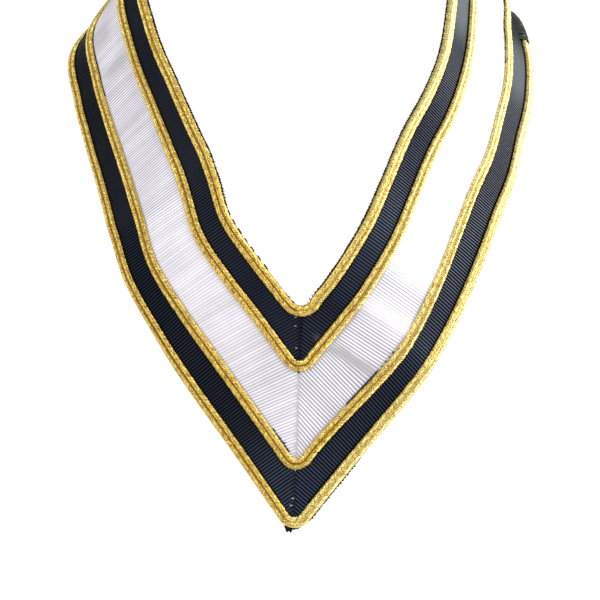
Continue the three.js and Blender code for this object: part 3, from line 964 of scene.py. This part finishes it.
class COLLAR_OT_ribbons(bpy.types.Operator):
    """Make the navy and the white grosgrain ribbons of both halves"""

    bl_idname = "collar.ribbons"
    bl_label = "Ribbons"

    def execute(self, context):
        chosen = settings().ribbons
        cloths = {
            cloth: grosgrain_material(
                f"{cloth.title()} grosgrain", getattr(chosen, cloth), getattr(chosen, f"{cloth}_valley"),
                getattr(chosen, f"{cloth}_pressed"), finish)
            for cloth, finish in GROSGRAINS.items()}
        tree = tree_named("Ribbed cloth", ribbed_cloth_tree)
        for ribbon in RIBBONS:
            lines, shows = ribbon["lines"], ribbon["shows"]
            offsets = np.array([lines[0], *np.linspace(*shows, ribbon["columns"]), lines[1]])
            for side in ("left", "right"):
                points, faces, stored = strap_grid(
                    side, offsets, RIBBON_TOP, chosen.pitch / chosen.rows_per_rib, ribbon["lean"][side])
                across = stored["across"]
                to_braid = np.minimum(across - shows[0], shows[1] - across)
                stored["to_braid"] = np.where(from_mitre(points) < EDGE_STOPS, FAR, to_braid)
                # Painted shade in the furrows, and the cloth painted lighter or darker as the light falls,
                # by rows
                for key in ("furrow", "tone"):
                    stored[key] = at_rows(ribbon[key][side], stored["row"])
                piece = new_piece(f"{ribbon['name']}_cloth_{side}", points, faces, stored)
                trim_at_mitre(piece, side)
                run_tree(piece, tree, {
                    "Pitch": chosen.pitch, "Relief": chosen.relief, "Seam depth": SEAM_DEPTH,
                    "Material": cloths[ribbon["cloth"]]})
                thicken(piece, RIBBON_THICKNESS)
                finish_piece(piece, [f"{ribbon['name']}_{side}"])
        return {"FINISHED"}


def cord_section(width, height, hem, groove, count=6):
    """The outline of two round cords side by side, down to the ribbon, or at a hem to the backing.

    groove is how deep it is between them, as a share, and count the points over each cord."""
    turn = np.linspace(0, math.pi, count)
    quarter, foot, rise, fill = width / 4, 0.25 * height, 0.72 * height, 0.6 * height
    cord = np.stack([quarter * np.cos(turn), rise * np.sin(turn)], axis=1)
    tops = np.concatenate([cord + [quarter, 0], cord[1:] - [quarter, 0]])
    dip = np.maximum(0, 1 - np.abs(tops[:, 0]) / quarter)
    tops[:, 1] += foot + (1 - groove) * fill * dip
    feet = [BRAID_LEVEL - RIBBON_TOP, BRAID_LEVEL - RIBBON_TOP]
    if hem:
        feet[1 if hem > 0 else 0] = BRAID_LEVEL - BACKING_THICKNESS
    base = np.array([[-width / 2, -feet[0]], [width / 2, -feet[1]]])
    return np.concatenate([base, tops])


def lit_pale_at(points, lit_pale_span):
    """How pale a painted wash of light makes the gilt at each point, from none to all between these
    distances.
    """
    return MOST_LIT_PALE * np.interp(past_mitre(points) / MM, lit_pale_span, (0, 1))


def swept_ring(name, path, section, flat, lit_pale_span):
    """A closed ring of these sections, one for each point of the path, measured across and out."""
    middle, across, face = path
    points = middle[:, None] + across[:, None] * section[..., :1] + face[:, None] * section[..., 1:]
    rings, count = points.shape[:2]
    corner = np.arange(rings * count).reshape(rings, count)
    ahead, beside = np.roll(corner, -1, axis=0), np.roll(corner, -1, axis=1)
    both = np.roll(ahead, -1, axis=1)
    faces = np.stack([corner, ahead, both, beside], axis=-1).reshape(-1, 4)
    aside = np.broadcast_to(section[..., 0], (rings, count))
    # The groove between the cords gets painted shade, and pale is the painted wash of light on the gilt
    sunk = (np.abs(aside) < MM) & ~flat
    points = points.reshape(-1, 3)
    stored = {"aside": aside.ravel(), "sunk": sunk.ravel().astype(float), "pale": lit_pale_at(points, lit_pale_span)}
    piece = new_piece(name, points, faces, stored)
    mesh = bmesh.new()
    mesh.from_mesh(piece.data)
    bmesh.ops.recalc_face_normals(mesh, faces=mesh.faces)
    mesh.to_mesh(piece.data)
    mesh.free()
    piece.data.shade_smooth()
    return piece


def lay_threads(name, middle, run, face, arch, values, pale=0.0):
    """One thread at each point, as one mesh object. arch is where it starts, how it bends and ends."""
    along = np.cumsum(np.linalg.norm(np.diff(middle, axis=0, prepend=middle[:1]), axis=1))
    # pale: how strongly a painted wash of light pales the gilt of each thread
    pale = np.broadcast_to(pale, len(middle))
    piece = new_piece(name, middle, [], {"run": run, "face": face, "along": along, "pale": pale})
    ends = {key: tuple(map(float, point)) for key, point in zip(("Start", "Top", "End"), arch)}
    run_tree(piece, tree_named("Laid threads", laid_threads_tree), {**ends, "Segments": 4, **values})
    settle(piece)
    return piece


class COLLAR_OT_braids(bpy.types.Operator):
    """Make the four gold braids, each two cords laid over with slanting metallic threads"""

    bl_idname = "collar.braids"
    bl_label = "Braids"

    def execute(self, context):
        chosen = settings().braids
        gilt = metallic_thread_material(
            "Gilt metallic thread", chosen.gold, chosen.gold_deep, chosen.groove, chosen.lit_pale_gold,
            chosen.lit_pale_deep_gold)
        for number, braid in enumerate(BRAIDS):
            name, offset, radius, hem, flat_from, lit_pale_span = braid
            path = braid_path(offset, radius, chosen.core_step)
            width, height = BRAID_WIDTH - chosen.thread_width, BRAID_HEIGHT - chosen.thread_width
            grooved, smooth = (cord_section(width, height, hem, groove) for groove in (1.0, FLAT_GROOVE))
            flat = past_mitre(path[0])[:, None] > flat_from
            core = swept_ring(f"{name}_core", path, np.where(flat[..., None], smooth, grooved), flat, lit_pale_span)
            core.data.materials.append(gilt)
            threads = braid_threads(number, braid, chosen, gilt)
            finish_piece(join([core, *threads], f"{name}_threads"), [name])
        return {"FINISHED"}


def braid_threads(number, braid, chosen, gilt):
    """The threads laid over a braid's two cords, where it is round and where it is flat."""
    name, offset, radius, hem, flat_from, lit_pale_span = braid
    middle, across, face = braid_path(offset, radius, chosen.thread_step)
    run = np.cross(face, across)
    # How strongly a painted wash of light pales the gilt at each thread
    pale = lit_pale_at(middle, lit_pale_span)
    is_flat = past_mitre(middle) > flat_from
    half, thick, reach = BRAID_WIDTH / 2, chosen.thread_width / 2, chosen.thread_lean / 2
    pieces = []
    for cord, hand in (("inner", -1), ("outer", 1)):
        low = BACKING_THICKNESS - BRAID_LEVEL + thick if hem == -hand else thick - GAP
        for form, here, rise, groove in (
                ("flat", is_flat, 2.6, FLAT_GROOVE_REACH), ("round", ~is_flat, 0.9, chosen.groove_reach)):
            if not here.any():
                continue
            high = thick * rise
            top = 2 * (BRAID_HEIGHT - thick) - (low + high) / 2
            arch = (
                (-reach, hand * (half - thick), low), (0, hand * half * 0.6, top),
                (reach, hand * thick * 0.4, high))
            pieces.append(lay_threads(
                f"{name}_{cord}_{form}", middle[here], run[here], face[here], arch, {
                    "Width": chosen.thread_width, "Sides": 4, "Unevenness": 0.05, "Groove": groove,
                    "Seed": 4 * number + hand + (form == "flat"), "Material": gilt}, pale[here]))
    return pieces


class COLLAR_OT_stitches(bpy.types.Operator):
    """Sew the strap's edges, the outer seam and the mitre by hand"""

    bl_idname = "collar.stitches"
    bl_label = "Stitches"

    def execute(self, context):
        chosen = settings().backing
        threads = {
            "dark": sewing_thread_material("Black sewing thread", chosen.dark_thread),
            "pale": sewing_thread_material("Pale basting thread", chosen.pale_thread),
            "frayed": sewing_thread_material("Frayed shoulder thread", chosen.frayed_thread),
        }
        for number, (name, rows, across, level, step, width, arch, thread) in enumerate(STITCHES):
            line = Line(across * MM, level * MM)
            places = line.steps(*rows, step * MM)
            middle = strap_point(places, line.offset, line.level)
            _, run, _, face = frame_at(places)
            piece = lay_threads(f"stitches_{name}", middle, run, face, MM * np.array(arch), {
                "Width": width * MM, "Sides": 6, "Unevenness": 0.25, "Groove": 0.0,
                "Seed": FIRST_STITCH_SEED + number, "Material": threads[thread]})
            finish_piece(piece)
        for thread, table in MITRE_STITCHES.items():
            pieces = [
                mitre_stitch(f"mitre_{thread}_{i}", *stitch, threads[thread])
                for i, stitch in enumerate(table)]
            finish_piece(join(pieces, f"stitches_mitre_{thread}"))
        return {"FINISHED"}


def mitre_stitch(name, down, left, span, width, thread):
    """One stitch across the front of the point, given by its place along and beside the mitre."""
    target = MITRE_POINT - MM * ((down - MITRE_POINT_DOWN) * MITRE_UP + left * MITRE_ACROSS)
    place, point = nearest_place(target, "left" if left > 0 else "right")
    face = frame_at(place)[3]
    arch = MM * np.array([(-span / 2, 0, 0), (0, 0, width), (span / 2, 0, 0)])
    return lay_threads(name, point[None], MITRE_ACROSS[None], face[None], arch, {
        "Width": width * MM, "Sides": 6, "Unevenness": 0.0, "Groove": 0.0, "Seed": 1, "Material": thread})


def nearest_place(target, side):
    """The place and the point of the ribbons that show nearest to the target, seen from the front."""
    rows, lines = 401, 205
    places, offsets = np.meshgrid(np.linspace(*MITRE_ROWS[side], rows), np.linspace(0, STRAP_WIDTH, lines))
    points = strap_point(places, offsets, RIBBON_TOP).reshape(-1, 3)
    nearest = np.argmin(np.hypot(*(points - target)[:, ::2].T))
    return places.ravel()[nearest], points[nearest]


class COLLAR_OT_point_tab(bpy.types.Operator):
    """Make the ragged end of the backing below the tip"""

    bl_idname = "collar.point_tab"
    bl_label = "Point tab"

    def execute(self, context):
        chosen = settings().backing
        low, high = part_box("point_tab")
        width, height = high.x - low.x, high.z - low.z
        columns, rows = 15, 9
        across, down = np.meshgrid(np.linspace(0, 1, columns), np.linspace(0, 1, rows))
        random = np.random.default_rng(11)
        ragged = at_rows(TAB_LENGTHS, across[0]) + 0.08 * random.uniform(-1, 1, columns)
        crumple = random.uniform(-1, 1, across.shape) * 0.5 * MM
        points = np.stack([
            low.x + width * (across + 0.03 * random.uniform(-1, 1, across.shape)),
            (low.y + high.y) / 2 + crumple,
            high.z - height * down * ragged[None, :],
        ], axis=-1)
        stored = {"along": (down * height).ravel(), "across": (across * width).ravel()}
        piece = new_piece("point_tab_cloth", points.reshape(-1, 3), grid_faces(rows, columns), stored)
        thicken(piece, TAB_THICKNESS)
        piece.data.materials.append(backing_material("Frayed twill end", chosen.cloth, chosen.weave))
        finish_piece(piece, ["point_tab"])
        return {"FINISHED"}


class COLLAR_OT_stage(bpy.types.Operator):
    """Set up the floor, the lights, the sky and the camera"""

    bl_idname = "collar.stage"
    bl_label = "Stage"

    def execute(self, context):
        chosen = settings().stage
        scene = context.scene
        scene.view_settings.view_transform = "Standard"
        corners = 64
        turn = np.linspace(0, 2 * math.pi, corners, endpoint=False)
        rim = np.stack([np.cos(turn), np.sin(turn), np.zeros(corners)], axis=1) * chosen.floor_radius
        floor = new_piece("studio_floor", rim - [0, 0, chosen.floor_drop], [list(range(corners))])
        floor.data.materials.append(matt_white_material("Matt white studio floor"))
        front = Vector((0, -NAPE[1], -NAPE[2]))
        camera = bpy.data.objects.new("camera", bpy.data.cameras.new("camera"))
        camera.data.lens = chosen.lens
        camera.data.clip_end = 100
        camera.location = front - Vector((0, chosen.distance, 0))
        camera.rotation_euler = (math.pi / 2, 0, 0)
        scene.collection.objects.link(camera)
        scene.camera = camera
        for name, (bearing, size) in LIGHTS.items():
            light = area_light(name, front, bearing, size, getattr(chosen, name))
            light.visible_diffuse = name != "sheen"
        scene.world = bpy.data.worlds.new("studio")
        scene.world.use_nodes = True
        scene.world.node_tree.nodes.clear()
        node = partial(add_node, scene.world.node_tree)
        sky, paper = (
            node("ShaderNodeBackground", {"Color": (1, 1, 1, 1), "Strength": strength})
            for strength in (chosen.sky, chosen.paper))
        seen = node("ShaderNodeLightPath").outputs["Is Camera Ray"]
        both = node("ShaderNodeMixShader", {0: seen, 1: sky, 2: paper})
        node("ShaderNodeOutputWorld", {"Surface": both})
        return {"FINISHED"}


def area_light(name, target, bearing, size, strength):
    """A soft light aimed at a target, at degrees round to the right of the front and up from level."""
    around, up = (DEGREE * angle for angle in bearing)
    away = Vector((math.sin(around) * math.cos(up), -math.cos(around) * math.cos(up), math.sin(up)))
    data = bpy.data.lights.new(name, "AREA")
    data.shape = "RECTANGLE"
    data.size, data.size_y = size
    data.energy = strength
    light = bpy.data.objects.new(name, data)
    light.location = target + away * LIGHT_DISTANCE
    light.rotation_euler = away.to_track_quat("Z", "Y").to_euler()
    bpy.context.scene.collection.objects.link(light)
    return light


OPERATORS = (
    COLLAR_OT_stage, COLLAR_OT_backing, COLLAR_OT_ribbons, COLLAR_OT_braids, COLLAR_OT_stitches,
    COLLAR_OT_point_tab,
)


class VIEW3D_PT_regalia_collar(bpy.types.Panel):
    """Lists the collar's sizes, colours and steps"""

    bl_label = "Regalia collar"
    bl_space_type = "VIEW_3D"
    bl_region_type = "UI"
    bl_category = "Collar"

    def draw(self, context):
        for operator in OPERATORS:
            self.layout.operator(operator.bl_idname)
        chosen = context.scene.regalia_collar
        for group in (chosen.ribbons, chosen.braids, chosen.backing, chosen.stage):
            box = self.layout.box()
            for name in group.__annotations__:
                box.prop(group, name)


CLASSES = (
    CollarRibbonProperties, CollarBraidProperties, CollarBackingProperties, CollarStageProperties,
    CollarProperties, *OPERATORS, VIEW3D_PT_regalia_collar,
)


def register():
    for item in CLASSES:
        bpy.utils.register_class(item)
    bpy.types.Scene.regalia_collar = PointerProperty(type=CollarProperties)


def unregister():
    del bpy.types.Scene.regalia_collar
    for item in reversed(CLASSES):
        bpy.utils.unregister_class(item)


def main():
    register()
    bpy.ops.collar.stage()
    bpy.ops.collar.backing()
    bpy.ops.collar.ribbons()
    bpy.ops.collar.braids()
    bpy.ops.collar.stitches()
    bpy.ops.collar.point_tab()


if __name__ == "__main__":
    main()
